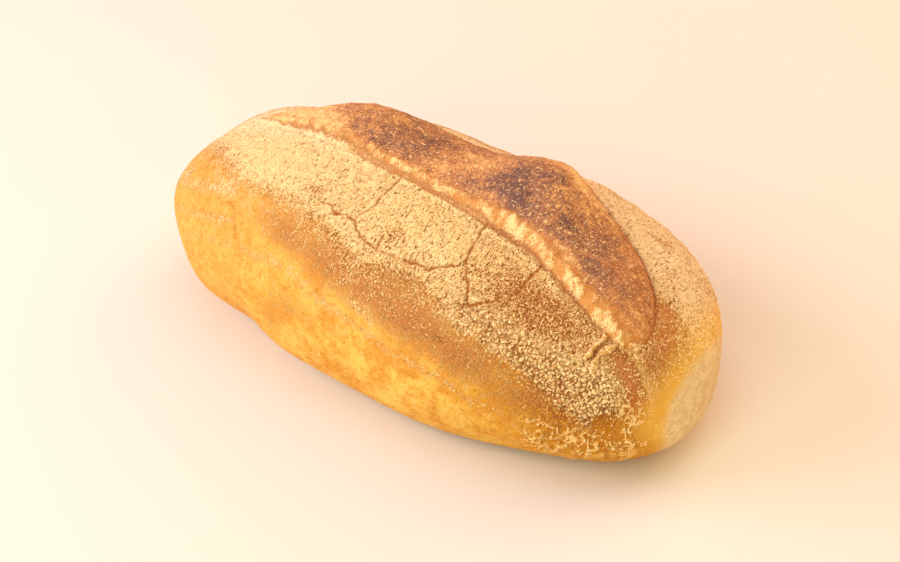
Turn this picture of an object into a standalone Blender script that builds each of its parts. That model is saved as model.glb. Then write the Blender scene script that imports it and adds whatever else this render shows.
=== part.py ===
"""A sourdough loaf: a long oval loaf whose one lengthwise score has burst open in the oven.

Units are metres and +Z is up. The loaf rests on its flat underside at z = 0, with the origin
under its middle. +X runs along the loaf to its blunter end, where it has a flat pale patch,
and -Y is the side with the wide floured shoulder.

Every point of the surface starts on a plain oval loaf, worked out from the driving dimensions.
Relief is then added along the oval's normals: broad bulges and hollows, the raised burst with
its lips, the cracks in the floured shoulder and the torn ridges at the end of the score.
"""

import bpy
import numpy as np
from mathutils import Vector, noise

MM = 0.001

# Driving dimensions of the oval
LENGTH = 0.285
WIDTH = 0.146
CROWN_HEIGHT = 0.096
WAIST_HEIGHT = 0.0406
UNDER_REACH = 0.050
WIDTH_TAPER = 0.116

# How square the oval's curves are: 2 is an ellipse, more is squarer. Pairs are the -X and +X ends.
PLAN_SQUARENESS = (2.6, 2.1)
CROWN_SQUARENESS = (2.24, 2.44)
UNDER_SQUARENESS = 3.0
SECTION_SQUARENESS_TOP = 2.57
SECTION_SQUARENESS_UNDER = 2.2

# Bulges (+) and hollows (-): x, y, z of the middle, radius and height
BULGES = (
    (-0.004, 0.046, 0.084, 0.034, -0.0040),
    (0.082, 0.046, 0.076, 0.034, -0.0005),
    (0.052, 0.036, 0.086, 0.018, 0.0042),
    (-0.132, -0.030, 0.048, 0.030, 0.0026),
    (-0.112, 0.024, 0.072, 0.024, 0.0022),
    (-0.106, -0.056, 0.030, 0.020, 0.0030),
    (-0.074, -0.058, 0.022, 0.016, -0.0042),
    (0.108, -0.052, 0.025, 0.024, 0.0009),
)
UNEVENNESS = 0.0006

# The flat patch at the +X end, where the loaf touched its neighbour while baking
PATCH_FACING = (0.90, -0.36, 0.24)
PATCH_DISTANCE = 0.1382
PATCH_SOFTNESS = 0.003
PATCH_FLATNESS = 0.8

# The score's two ends in plan, and the burst that opened to its +Y side
SCORE_START = (-0.114, 0.009)
SCORE_END = (0.119, -0.028)
BURST_WIDTH = 0.054
BURST_WIDEST = 0.5
BURST_SQUARENESS = (1.5, 2.1)
NEAR_EDGE_SWAY = 0.0016
NEAR_EDGE_TURN = 0.0065
NEAR_EDGE_TURN_FROM = 0.70
NEAR_EDGE_TURN_TO = 0.94

# Height of the burst above the oval, with two humps and a saddle: x, reach, height
BURST_HEIGHT = 0.0060
BURST_HUMPS = (
    (-0.060, 0.026, 0.0055),
    (-0.002, 0.020, -0.0020),
    (0.046, 0.027, 0.0110),
)
BURST_FULLNESS = 0.6
BURST_LEAN = 0.15
FULL_BURST_WIDTH = 0.040

# Bands that run beside the burst's edges: distance from the edge, reach and height
NEAR_LIP = (-0.0013, 0.0018, 0.0009)
NEAR_GROOVE = (0.0016, 0.0017, -0.0013)
TORN_STRIP = (0.0048, 0.0021, 0.0008)
FAR_GROOVE = (-0.0004, 0.0013, -0.0016)
FAR_LIP = (0.0018, 0.0018, 0.0008)

# Lengthwise wrinkles on the burst, and crags on the floured shoulder
WRINKLE_HEIGHT = 0.0005
WRINKLE_LENGTH = 0.020
WRINKLE_WIDTH = 0.0045
CRAG_HEIGHT = 0.0005
CRAG_SIZE = 0.006
FLOUR_EDGE_Y = -0.052

# Cracks in the floured shoulder, in plan, in millimetres
CRACKS = (
    ((-18, -6), (-18, -26), (-22, -37)),
    ((-22, -37), (-33, -38), (-36, -34), (-43, -35)),
    ((-22, -37), (-14, -45), (-3, -47), (15, -47), (24, -47), (37, -37)),
    ((-3, -47), (-5, -40)),
    ((32, -12), (34, -26), (37, -37), (42, -44), (48, -52)),
    ((43, -53), (51, -51), (60, -45)),
    ((66, -21), (65, -33), (64, -39)),
    ((105, -36), (105, -40), (104, -44)),
)
CRACK_HALF_WIDTH = 0.0014
CRACK_DEPTH = 0.0020
CRACK_WANDER = 0.0009
CRACK_WANDER_SIZE = 0.005

# Torn ridges beyond the end of the score, and the low crest that carries on from the burst
TEARS = (
    ((105, -33), (104, -39), (102, -45)),
    ((110, -33), (107, -39), (106, -45)),
)
TEAR_RIDGE = (0.0, 0.0013, 0.0017)
TAIL = ((111, -30), (118, -30), (127, -31), (132, -30))
TAIL_RIDGE = (0.0, 0.0024, 0.0014)

# Fineness of the model
BALL_SUBDIVISIONS = 8
KEPT_SHARE = 0.0355
NORMAL_STEP = 0.001
NEAREST_TO_POLE = 0.02

CRUST_COLOUR = (0.58, 0.28, 0.075, 1.0)
CRUST_ROUGHNESS = 0.78


def clear_scene():
    for old in list(bpy.data.objects):
        bpy.data.objects.remove(old, do_unlink=True)


def crust_material():
    """Dull baked crust."""
    material = bpy.data.materials.new("crust")
    material.use_nodes = True
    shader = material.node_tree.nodes["Principled BSDF"]
    shader.inputs["Base Color"].default_value = CRUST_COLOUR
    shader.inputs["Roughness"].default_value = CRUST_ROUGHNESS
    shader.inputs["Metallic"].default_value = 0.0
    return material


def smooth_step(low, high, value):
    """0 below low, 1 above high and a smooth rise between them."""
    share = np.clip((value - low) / (high - low), 0.0, 1.0)
    return share * share * (3.0 - 2.0 * share)


def rounded(share, squareness):
    """Height of a rounded profile: 1 in its middle and 0 at share 1."""
    return np.maximum(1.0 - np.abs(share) ** squareness, 0.0) ** (1.0 / squareness)


def powered(value, power):
    """A power that keeps the sign."""
    return np.sign(value) * np.abs(value) ** power


def band(distance, place):
    """A soft ridge or groove of place = (distance of its middle, reach, height)."""
    middle, reach, height = place
    return height * np.exp(-(((distance - middle) / reach) ** 2))


def oval_point(along, around):
    """The plain loaf. along runs 0 to pi from the -X end, around is 0 on top and +-pi underneath."""
    share = -np.cos(along)
    at_left = share < 0.0
    plan = rounded(share, np.where(at_left, *PLAN_SQUARENESS))
    crown = rounded(share, np.where(at_left, *CROWN_SQUARENESS))
    half_width = WIDTH / 2.0 * plan * (1.0 + WIDTH_TAPER * share)
    above = (CROWN_HEIGHT - WAIST_HEIGHT) * crown
    below = -UNDER_REACH * rounded(share, UNDER_SQUARENESS)
    on_top = np.abs(around) <= np.pi / 2.0
    power = 2.0 / np.where(on_top, SECTION_SQUARENESS_TOP, SECTION_SQUARENESS_UNDER)
    y = half_width * powered(np.sin(around), power)
    z = WAIST_HEIGHT + np.where(on_top, above, below) * np.abs(np.cos(around)) ** power
    return np.stack((LENGTH / 2.0 * share, y, z), axis=-1)


def oval_normal(along, around):
    """Outward normal of the plain loaf, from two short steps across its surface."""
    along = np.clip(along, NEAREST_TO_POLE, np.pi - NEAREST_TO_POLE)
    step = NORMAL_STEP
    lengthwise = oval_point(along + step, around) - oval_point(along - step, around)
    crosswise = oval_point(along, around + step) - oval_point(along, around - step)
    normal = np.cross(crosswise, lengthwise)
    outward = oval_point(along, around) - np.array((0.0, 0.0, WAIST_HEIGHT))
    normal *= np.sign(np.sum(normal * outward, axis=-1, keepdims=True))
    return normal / (np.linalg.norm(normal, axis=-1, keepdims=True) + 1e-12)


def bulges(points):
    """Broad bulges and hollows, and a slight unevenness from three crossing waves."""
    relief = np.zeros(len(points))
    for x, y, z, radius, height in BULGES:
        gap = np.linalg.norm(points - np.array((x, y, z)), axis=-1)
        relief += height * np.exp(-((gap / radius) ** 2))
    x, y, z = (points / MM).T
    waves = np.sin(x / 17.0 + y / 31.0 + 1.3) + np.sin(y / 11.0 - x / 43.0) + np.sin(z / 9.0 + x / 23.0)
    return relief + UNEVENNESS * waves


def score_frame(points):
    """Each point's share along the score, its distance to the score's +Y side, and the burst's edges."""
    start = np.array(SCORE_START)
    run = np.array(SCORE_END) - start
    length = np.hypot(*run)
    heading = run / length
    offset = points[:, :2] - start
    share = offset @ heading / length
    sideways = offset @ np.array((-heading[1], heading[0]))
    t = np.clip(share, 0.0, 1.0)
    toward_end = np.where(t < BURST_WIDEST, BURST_WIDEST - t, t - BURST_WIDEST)
    toward_end /= np.where(t < BURST_WIDEST, BURST_WIDEST, 1.0 - BURST_WIDEST)
    far = BURST_WIDTH * rounded(toward_end, np.where(t < BURST_WIDEST, *BURST_SQUARENESS))
    sway = NEAR_EDGE_SWAY * np.sin(2.0 * np.pi * (t - 0.3) / 0.92)
    turn = NEAR_EDGE_TURN * smooth_step(NEAR_EDGE_TURN_FROM, NEAR_EDGE_TURN_TO, t)
    tip = np.clip((t - NEAR_EDGE_TURN_TO) / (1.0 - NEAR_EDGE_TURN_TO), 0.0, 1.0)
    near = (sway - turn) * np.sqrt(1.0 - tip**2) * smooth_step(0.0, 0.08, t)
    return share, sideways, near, far


def burst(points):
    """The raised burst: a dome across its width, taller at the humps, with lips and grooves at its edges."""
    share, sideways, near, far = score_frame(points)
    width = np.maximum(far - near, MM)
    from_near = sideways - near
    from_far = sideways - far
    across = np.clip(from_near / width, 0.0, 1.0)
    height = np.full(len(points), BURST_HEIGHT)
    for x, reach, rise in BURST_HUMPS:
        height += rise * np.exp(-(((points[:, 0] - x) / reach) ** 2))
    fullness = np.clip(width / FULL_BURST_WIDTH, 0.0, 1.0) ** 0.9
    dome = (4.0 * across * (1.0 - across)) ** BURST_FULLNESS * (1.0 + BURST_LEAN * (across - 0.5))
    within = (share > 0.0) & (share < 1.0)
    ends = smooth_step(0.0, 0.10, share) * (1.0 - smooth_step(0.96, 1.0, share))
    edges = band(from_near, NEAR_LIP) + band(from_near, NEAR_GROOVE) + band(from_near, TORN_STRIP)
    edges += band(from_far, FAR_GROOVE) + band(from_far, FAR_LIP)
    folds = wrinkles(sideways, share) * smooth_step(0.15, 0.35, across) * (across < 1.0)
    return np.where(within, height * fullness * dome + (edges + folds) * ends, 0.0)


def wrinkles(sideways, share):
    """Fine folds that run along the burst: noise stretched lengthwise."""
    length = np.hypot(SCORE_END[0] - SCORE_START[0], SCORE_END[1] - SCORE_START[1])
    stretched = np.stack((share * length / WRINKLE_LENGTH, sideways / WRINKLE_WIDTH), axis=-1)
    return WRINKLE_HEIGHT * np.array([noise.noise((u, v, 0.0)) for u, v in stretched])


def crags(points):
    """Small crags where the flour lies, fading out below the shoulder."""
    floured = smooth_step(FLOUR_EDGE_Y - 0.006, FLOUR_EDGE_Y + 0.006, points[:, 1])
    floured *= smooth_step(WAIST_HEIGHT, WAIST_HEIGHT + 0.02, points[:, 2])
    bumps = np.array([noise.noise(Vector(p) / CRAG_SIZE) for p in points])
    return CRAG_HEIGHT * bumps * floured


def distance_to_path(points, path):
    """Shortest distance in plan from each point to a path given in millimetres."""
    corners = np.array(path) * MM
    nearest = np.full(len(points), np.inf)
    for start, end in zip(corners[:-1], corners[1:]):
        run = end - start
        share = np.clip((points - start) @ run / (run @ run), 0.0, 1.0)
        gap = np.linalg.norm(points - start - share[:, None] * run, axis=-1)
        nearest = np.minimum(nearest, gap)
    return nearest


def cracks_and_tears(points):
    """V-shaped cracks that wander a little, the torn ridges and the crest at the end of the score."""
    wander = [noise.noise_vector(Vector((x, y, 0.0)) / CRACK_WANDER_SIZE)[:2] for x, y, _ in points]
    plan = points[:, :2] + CRACK_WANDER * np.array(wander)
    relief = np.zeros(len(points))
    for path in CRACKS:
        opening = np.clip(1.0 - distance_to_path(plan, path) / CRACK_HALF_WIDTH, 0.0, 1.0)
        relief = np.minimum(relief, -CRACK_DEPTH * opening)
    for path in TEARS:
        relief += band(distance_to_path(plan, path), TEAR_RIDGE)
    return relief + band(distance_to_path(plan, TAIL), TAIL_RIDGE)


def press_patch(points):
    """Flattens the +X end softly against a plane."""
    facing = np.array(PATCH_FACING) / np.linalg.norm(PATCH_FACING)
    beyond = points @ facing - PATCH_DISTANCE
    pressed = (beyond + np.sqrt(beyond**2 + PATCH_SOFTNESS**2)) / 2.0
    pressed *= PATCH_FLATNESS * (points[:, 0] > 0.0)
    return points - pressed[:, None] * facing


def loaf_surface(ball):
    """Carries the points of a unit ball onto the loaf."""
    along = np.arccos(np.clip(-ball[:, 0], -1.0, 1.0))
    around = np.arctan2(ball[:, 1], ball[:, 2])
    oval = oval_point(along, around)
    on_top = np.abs(around) < np.pi / 2.0
    relief = bulges(oval) + on_top * (burst(oval) + cracks_and_tears(oval) + crags(oval))
    surface = press_patch(oval + oval_normal(along, around) * relief[:, None])
    middle = (surface[:, :2].min(axis=0) + surface[:, :2].max(axis=0)) / 2.0
    surface[:, :2] -= middle
    return surface


def add_ball(name):
    """An evenly divided ball, as the clay for the loaf."""
    bpy.ops.mesh.primitive_ico_sphere_add(subdivisions=BALL_SUBDIVISIONS, radius=1.0)
    ball = bpy.context.object
    ball.name = name
    ball.data.name = name
    return ball


def add_underside_cutter():
    """A slab below the table's level that cuts the loaf's underside flat."""
    bpy.ops.mesh.primitive_cube_add(size=1.0, location=(0.0, 0.0, -UNDER_REACH))
    cutter = bpy.context.object
    cutter.name = "underside_cutter"
    cutter.scale = (LENGTH * 1.5, WIDTH * 1.5, UNDER_REACH * 2.0)
    cutter.hide_render = True
    cutter.display_type = "WIRE"
    return cutter


def make_loaf():
    """Shapes the ball into the loaf, keeps triangles where the relief is, and cuts the underside flat."""
    loaf = add_ball("loaf")
    mesh = loaf.data
    points = np.empty(len(mesh.vertices) * 3)
    mesh.vertices.foreach_get("co", points)
    shaped = loaf_surface(points.reshape(-1, 3))
    mesh.vertices.foreach_set("co", shaped.ravel())
    mesh.update()
    mesh.materials.append(crust_material())
    thin = loaf.modifiers.new("thin_out", "DECIMATE")
    thin.ratio = KEPT_SHARE
    flat = loaf.modifiers.new("flat_underside", "BOOLEAN")
    flat.operation = "DIFFERENCE"
    flat.solver = "EXACT"
    flat.object = add_underside_cutter()
    mesh.shade_smooth()
    return loaf


def main():
    clear_scene()
    make_loaf()


main()
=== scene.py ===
import math
import bpy
import numpy as np
from mathutils import Matrix, Vector


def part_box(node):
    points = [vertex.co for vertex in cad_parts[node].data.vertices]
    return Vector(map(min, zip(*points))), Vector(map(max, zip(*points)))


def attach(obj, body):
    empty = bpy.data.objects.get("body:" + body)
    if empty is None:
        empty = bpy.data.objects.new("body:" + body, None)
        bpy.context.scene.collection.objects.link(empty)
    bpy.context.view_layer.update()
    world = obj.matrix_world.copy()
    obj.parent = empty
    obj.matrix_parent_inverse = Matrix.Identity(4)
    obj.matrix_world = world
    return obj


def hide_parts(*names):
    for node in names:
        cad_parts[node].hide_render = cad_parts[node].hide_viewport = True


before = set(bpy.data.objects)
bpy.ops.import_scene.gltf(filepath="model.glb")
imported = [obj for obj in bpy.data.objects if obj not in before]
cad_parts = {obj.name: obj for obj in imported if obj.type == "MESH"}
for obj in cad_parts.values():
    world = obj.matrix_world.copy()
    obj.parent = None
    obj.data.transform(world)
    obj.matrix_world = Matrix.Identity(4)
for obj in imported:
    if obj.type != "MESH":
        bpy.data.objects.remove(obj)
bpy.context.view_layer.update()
scene = bpy.context.scene
print("frame loaded:", ", ".join(sorted(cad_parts)))

cameraView = {
    "azimuth": 32.84,        # degrees from the long side's front towards the blunt end
    "elevation": 40.92,      # degrees above the table
    "distance": 0.8753,
    "lens": 74.64,           # mm, on a 36 mm wide sensor
    "aim": (0.0093, -0.0055, 0.045),
}


def addCamera(view):
    # aim + distance * (sin a cos e, -cos a cos e, sin e), looking back at the aim
    azimuth, elevation = math.radians(view["azimuth"]), math.radians(view["elevation"])
    back = Vector((math.sin(azimuth) * math.cos(elevation), -math.cos(azimuth) * math.cos(elevation),
                   math.sin(elevation)))
    right = Vector((math.cos(azimuth), math.sin(azimuth), 0.0))
    data = bpy.data.cameras.new("camera")
    data.sensor_width = 36.0
    data.lens = view["lens"]
    camera = bpy.data.objects.new("camera", data)
    scene.collection.objects.link(camera)
    placed = Matrix((right, back.cross(right), back)).transposed().to_4x4()
    placed.translation = Vector(view["aim"]) + back * view["distance"]
    camera.matrix_world = placed
    scene.camera = camera


studio = {
    "floorSize": 8.0,
    "floorColour": (0.80, 0.735, 0.655),
    "floorRoughness": 0.9,
    "floorShine": 0.1,
    "skyColour": (1.11, 0.64, 0.36),
    "skyStrength": 0.50,
    # name, place, aim, size, watts, colour
    "lamps": (
        ("keyLamp", (-1.10, -0.75, 0.70), (0.0, 0.0, 0.04), 0.90, 17.5, (0.90, 0.84, 1.10)),
        ("topLamp", (-0.05, 0.05, 1.50), (0.0, 0.0, 0.04), 1.20, 8.5, (0.50, 0.62, 0.80)),
        ("frontLamp", (0.10, -1.35, 0.95), (0.0, 0.0, 0.04), 1.40, 12.5, (0.94, 1.25, 0.88)),
        ("backLamp", (0.35, 1.00, 1.00), (0.0, 0.0, 0.04), 1.20, 11.0, (0.95, 0.66, 0.38)),
    ),
}


def startMaterial(name, roughness, shine):
    # a new material with its node tree and its shader's inputs
    material = bpy.data.materials.new(name)
    material.use_nodes = True
    tree = material.node_tree
    inputs = tree.nodes["Principled BSDF"].inputs
    inputs["Roughness"].default_value = roughness
    inputs["Specular IOR Level"].default_value = shine
    return material, tree, inputs


def addStudio(look):
    # floor, lamps turned towards their aims, and a plain sky
    bpy.ops.mesh.primitive_plane_add(size=look["floorSize"])
    floor = bpy.context.object
    floor.name = "floor"
    paper, _, inputs = startMaterial("floorPaper", look["floorRoughness"], look["floorShine"])
    inputs["Base Color"].default_value = (*look["floorColour"], 1.0)
    floor.data.materials.append(paper)
    for name, place, aim, size, watts, colour in look["lamps"]:
        data = bpy.data.lights.new(name, "AREA")
        data.energy = watts
        data.size = size
        data.color = colour
        lamp = bpy.data.objects.new(name, data)
        lamp.location = place
        lamp.rotation_euler = (Vector(aim) - Vector(place)).to_track_quat("-Z", "Y").to_euler()
        scene.collection.objects.link(lamp)
    world = bpy.data.worlds.new("sky")
    world.use_nodes = True
    sky = world.node_tree.nodes["Background"]
    sky.inputs["Color"].default_value = (*look["skyColour"], 1.0)
    sky.inputs["Strength"].default_value = look["skyStrength"]
    scene.world = world
    scene.view_settings.view_transform = "Standard"


addCamera(cameraView)
addStudio(studio)
print("camera, floor and light placed")


# small tools for whole arrays; sizes in the patterns below are in millimetres, the form's in metres

def smoothStep(low, high, value):
    # 0 below low, 1 above high, and 3s^2 - 2s^3 between them
    share = np.clip((value - low) / (high - low), 0.0, 1.0)
    return share * share * (3.0 - 2.0 * share)


def rounded(share, squareness):
    # (1 - |s|^n)^(1/n): a quarter of an ellipse for n = 2, squarer above
    return np.maximum(1.0 - np.abs(share) ** squareness, 0.0) ** (1.0 / squareness)


def signedPower(value, power):
    # |v|^p with the sign of v
    return np.sign(value) * np.abs(value) ** power


def softRidge(distance, place):
    # height * exp(-((d - middle) / reach)^2)
    middle, reach, height = place
    return height * np.exp(-(((distance - middle) / reach) ** 2))


def softSpot(points, place):
    # amount * exp(-(dx / reachX)^2 - (dy / reachY)^2), seen from above
    x, y, reachX, reachY, amount = place
    return amount * np.exp(-(((points[:, 0] - x) / reachX) ** 2) - ((points[:, 1] - y) / reachY) ** 2)


def softSpots(points, places):
    # the sum of the spots, held between 0 and 1
    return np.clip(sum(softSpot(points, place) for place in places), 0.0, 1.0)


def softLines(points, lines, wobble):
    # the highest of the soft ridges about the lines, each a half width, a strength and a path
    return np.max([softRidge(distanceToPath(points, path) + wobble, (0.0, halfWidth, strength))
                   for halfWidth, strength, path in lines], axis=0)


def latticeNumber(corner, seed):
    # a scrambled number from 0 to 1 for each whole-number corner
    x, y, z = corner.astype(np.int64).T
    mixed = (x * 374761393 + y * 668265263 + z * 1440662683 + seed * 1274126177) & 0xFFFFFFFF
    mixed = ((mixed ^ (mixed >> 13)) * 1274126177) & 0xFFFFFFFF
    mixed = ((mixed ^ (mixed >> 15)) * 668265263) & 0xFFFFFFFF
    return (mixed ^ (mixed >> 16)) / 0xFFFFFFFF


def softNoise(points, size, seed):
    # random numbers on a lattice of the given size, blended smoothly between the 8 corners: -1 to 1
    spot = points / np.asarray(size)
    corner = np.floor(spot)
    share = spot - corner
    share = share * share * (3.0 - 2.0 * share)
    total = np.zeros(len(points))
    for step in np.ndindex(2, 2, 2):
        weight = np.prod(np.where(np.array(step) == 1, share, 1.0 - share), axis=1)
        total += weight * latticeNumber(corner + step, seed)
    return total * 2.0 - 1.0


def layeredNoise(points, size, seed, layers=3):
    # softNoise added up at half the size and half the height each time
    return sum(softNoise(points, np.asarray(size) / 2.0**k, seed + k) / 2.0**k for k in range(layers))


def wobble(points, place):
    # height * layeredNoise of the size, the seed and, where it isn't 3, the number of layers
    height, *noise = place
    return height * layeredNoise(points, *noise)


def cellPattern(points, size, seed, jitter=0.9):
    # one random seed point per lattice cell: distance to the nearest, the gap to the second nearest
    # (0 on the lines between cells) and a random number for the cell
    spot = points / np.asarray(size)
    corner = np.floor(spot)
    nearest = np.full(len(points), 9.0)
    second = np.full(len(points), 9.0)
    chance = np.zeros(len(points))
    for step in np.ndindex(3, 3, 3):
        cell = corner + np.array(step) - 1
        place = np.stack([latticeNumber(cell, seed + 11 * k) for k in range(3)], axis=1)
        gap = np.linalg.norm(cell + 0.5 + jitter * (place - 0.5) - spot, axis=1)
        closer = gap < nearest
        second = np.where(closer, nearest, np.minimum(second, gap))
        chance = np.where(closer, place[:, 2], chance)
        nearest = np.where(closer, gap, nearest)
    return nearest, second - nearest, chance


loafForm = {
    "length": 0.285,
    "width": 0.146,
    "crownHeight": 0.096,
    "waistHeight": 0.0406,
    "underReach": 0.050,
    "widthTaper": 0.116,
    # 2 is an ellipse, more is squarer; pairs are the -X and the +X end
    "planSquareness": (2.6, 2.1),
    "crownSquareness": (2.24, 2.44),
    "underSquareness": 3.0,
    "topSquareness": 2.57,
    "bottomSquareness": 2.2,
    # broad bulges and hollows: x, y, z, radius, height
    "bulges": (
        (-0.004, 0.046, 0.084, 0.034, -0.0040), (0.082, 0.046, 0.076, 0.034, -0.0005),
        (0.052, 0.036, 0.086, 0.018, 0.0042), (-0.132, -0.030, 0.048, 0.030, 0.0026),
        (-0.112, 0.024, 0.072, 0.024, 0.0022), (-0.106, -0.056, 0.030, 0.020, 0.0030),
        (-0.074, -0.058, 0.022, 0.016, -0.0042), (0.108, -0.052, 0.025, 0.024, 0.0009),
    ),
    "unevenness": 0.0006,
    "patchFacing": (0.90, -0.36, 0.24),
    "patchDistance": 0.1382,
    "patchSoftness": 0.003,
    "patchFlatness": 0.8,
    "underRounding": 0.0025,
}

burstForm = {
    "start": (-0.114, 0.009),
    "end": (0.119, -0.028),
    "width": 0.054,
    "widest": 0.5,
    "squareness": (1.5, 2.1),
    "nearSway": 0.0016,
    "nearTurn": (0.70, 0.94, 0.0065),    # from, to, how far
    "height": 0.0060,
    # x, reach and height of the humps and the saddle
    "humps": (
        (-0.060, 0.026, 0.0055), (-0.002, 0.020, -0.0020), (0.046, 0.027, 0.0110),
    ),
    "fullness": 0.6,
    "lean": 0.15,
    "fullWidth": 0.040,
    # middle, reach and height, measured from the burst's edges
    "nearLip": (-0.0013, 0.0018, 0.0009),
    "nearGroove": (0.0016, 0.0017, -0.0013),
    "tornStrip": (0.0048, 0.0021, 0.0008),
    "farGroove": (-0.0004, 0.0013, -0.0016),
    "farLip": (0.0018, 0.0018, 0.0008),
}

crackForm = {
    # seen from above, in millimetres
    "cracks": (
        ((-18, -6), (-18, -26), (-22, -37)),
        ((-22, -37), (-33, -38), (-36, -34), (-43, -35)),
        ((-22, -37), (-14, -45), (-3, -47), (15, -47), (24, -47), (37, -37)),
        ((-3, -47), (-5, -40)),
        ((32, -12), (34, -26), (37, -37), (42, -44), (48, -52)),
        ((43, -53), (51, -51), (60, -45)),
        ((66, -21), (65, -33), (64, -39)),
        ((105, -36), (105, -40), (104, -44)),
    ),
    "halfWidth": 0.62,
    "depth": 1.1,
    "wander": 1.1,
    "wanderSize": 4.5,
    "tears": (
        ((105, -33), (104, -39), (102, -45)),
        ((110, -33), (107, -39), (106, -45)),
    ),
    "tearRidge": (0.0, 1.1, 1.7),
    "tail": ((111, -30), (118, -30), (127, -31), (132, -30)),
    "tailRidge": (0.0, 2.4, 1.4),
}


def profileSquares(form, share):
    # half width, crown height above the waist and underside depth of the cross-section at each x
    atLeft = share < 0.0
    halfWidth = form["width"] / 2.0 * rounded(share, np.where(atLeft, *form["planSquareness"]))
    halfWidth = halfWidth * (1.0 + form["widthTaper"] * share)
    squareness = np.where(atLeft, *form["crownSquareness"])
    above = (form["crownHeight"] - form["waistHeight"]) * rounded(share, squareness)
    below = form["underReach"] * rounded(share, form["underSquareness"])
    return halfWidth, above, below


def ovalPoint(form, along, around):
    # x = -L/2 cos(along), y = w |sin(around)|^(2/n), z = waist + h |cos(around)|^(2/n)
    share = -np.cos(along)
    halfWidth, above, below = profileSquares(form, share)
    onTop = np.abs(around) <= np.pi / 2.0
    power = 2.0 / np.where(onTop, form["topSquareness"], form["bottomSquareness"])
    y = halfWidth * signedPower(np.sin(around), power)
    z = form["waistHeight"] + np.where(onTop, above, -below) * np.abs(np.cos(around)) ** power
    return np.stack((form["length"] / 2.0 * share, y, z), axis=-1)


def ovalNormal(form, along, around, step=0.001, pole=0.02):
    # cross product of a short step along and a short step around, turned outwards
    along = np.clip(along, pole, np.pi - pole)
    lengthwise = ovalPoint(form, along + step, around) - ovalPoint(form, along - step, around)
    crosswise = ovalPoint(form, along, around + step) - ovalPoint(form, along, around - step)
    normal = np.cross(lengthwise, crosswise)
    return normal / (np.linalg.norm(normal, axis=-1, keepdims=True) + 1e-12)


def bulgeRelief(form, points):
    # a sum of round hills and hollows, and three crossing waves
    relief = np.zeros(len(points))
    for x, y, z, radius, height in form["bulges"]:
        gap = np.linalg.norm(points - np.array((x, y, z)), axis=-1)
        relief += softRidge(gap, (0.0, radius, height))
    x, y, z = (points * 1000.0).T
    waves = np.sin(x / 17.0 + y / 31.0 + 1.3) + np.sin(y / 11.0 - x / 43.0) + np.sin(z / 9.0 + x / 23.0)
    return relief + form["unevenness"] * waves


def scoreFrame(form, points):
    # share along the score, distances inside its near and its far edge, and the width between them
    start = np.array(form["start"])
    run = np.array(form["end"]) - start
    length = np.hypot(*run)
    heading = run / length
    offset = points[:, :2] - start
    share = offset @ heading / length
    sideways = offset @ np.array((-heading[1], heading[0]))
    t = np.clip(share, 0.0, 1.0)
    widest = form["widest"]
    towardEnd = np.where(t < widest, (widest - t) / widest, (t - widest) / (1.0 - widest))
    far = form["width"] * rounded(towardEnd, np.where(t < widest, *form["squareness"]))
    turnFrom, turnTo, turn = form["nearTurn"]
    sway = form["nearSway"] * np.sin(2.0 * np.pi * (t - 0.3) / 0.92)
    tip = np.clip((t - turnTo) / (1.0 - turnTo), 0.0, 1.0)
    near = (sway - turn * smoothStep(turnFrom, turnTo, t)) * np.sqrt(1.0 - tip**2) * smoothStep(0.0, 0.08, t)
    return {"share": share, "run": share * length, "sideways": sideways, "fromNear": sideways - near,
            "fromFar": sideways - far, "width": np.maximum(far - near, 0.001),
            "within": (share > 0.0) & (share < 1.0)}


def burstRelief(form, points, score):
    # (4q(1-q))^p across the burst, times a height with humps along it, and narrow ridges at both edges
    across = np.clip(score["fromNear"] / score["width"], 0.0, 1.0)
    height = np.full(len(points), form["height"])
    for hump in form["humps"]:
        height += softRidge(points[:, 0], hump)
    fullness = np.clip(score["width"] / form["fullWidth"], 0.0, 1.0) ** 0.9
    dome = (4.0 * across * (1.0 - across)) ** form["fullness"] * (1.0 + form["lean"] * (across - 0.5))
    edges = sum(softRidge(score["fromNear"], form[name]) for name in ("nearLip", "nearGroove", "tornStrip"))
    edges += sum(softRidge(score["fromFar"], form[name]) for name in ("farGroove", "farLip"))
    ends = smoothStep(0.0, 0.10, score["share"]) * (1.0 - smoothStep(0.96, 1.0, score["share"]))
    return np.where(score["within"], height * fullness * dome + edges * ends, 0.0)


def distanceToPath(plan, path):
    # shortest distance from each point to the path's straight pieces
    corners = np.array(path, dtype=float)
    nearest = np.full(len(plan), np.inf)
    for start, end in zip(corners[:-1], corners[1:]):
        run = end - start
        share = np.clip((plan - start) @ run / (run @ run), 0.0, 1.0)
        nearest = np.minimum(nearest, np.linalg.norm(plan - start - share[:, None] * run, axis=-1))
    return nearest


def pressPatch(form, points):
    # what lies past a slanted plane is moved back to it, softly
    facing = np.array(form["patchFacing"]) / np.linalg.norm(form["patchFacing"])
    beyond = points @ facing - form["patchDistance"]
    pressed = (beyond + np.sqrt(beyond**2 + form["patchSoftness"] ** 2)) / 2.0
    pressed *= form["patchFlatness"] * (points[:, 0] > 0.0)
    return points - pressed[:, None] * facing


def sitFlat(form, points):
    # z stays as it is above r, is (z + r)^2 / 4r between -r and r, and 0 below
    r = form["underRounding"]
    z = points[:, 2]
    points[:, 2] = np.where(z > r, z, np.clip(z + r, 0.0, None) ** 2 / (4.0 * r))
    return points


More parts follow.
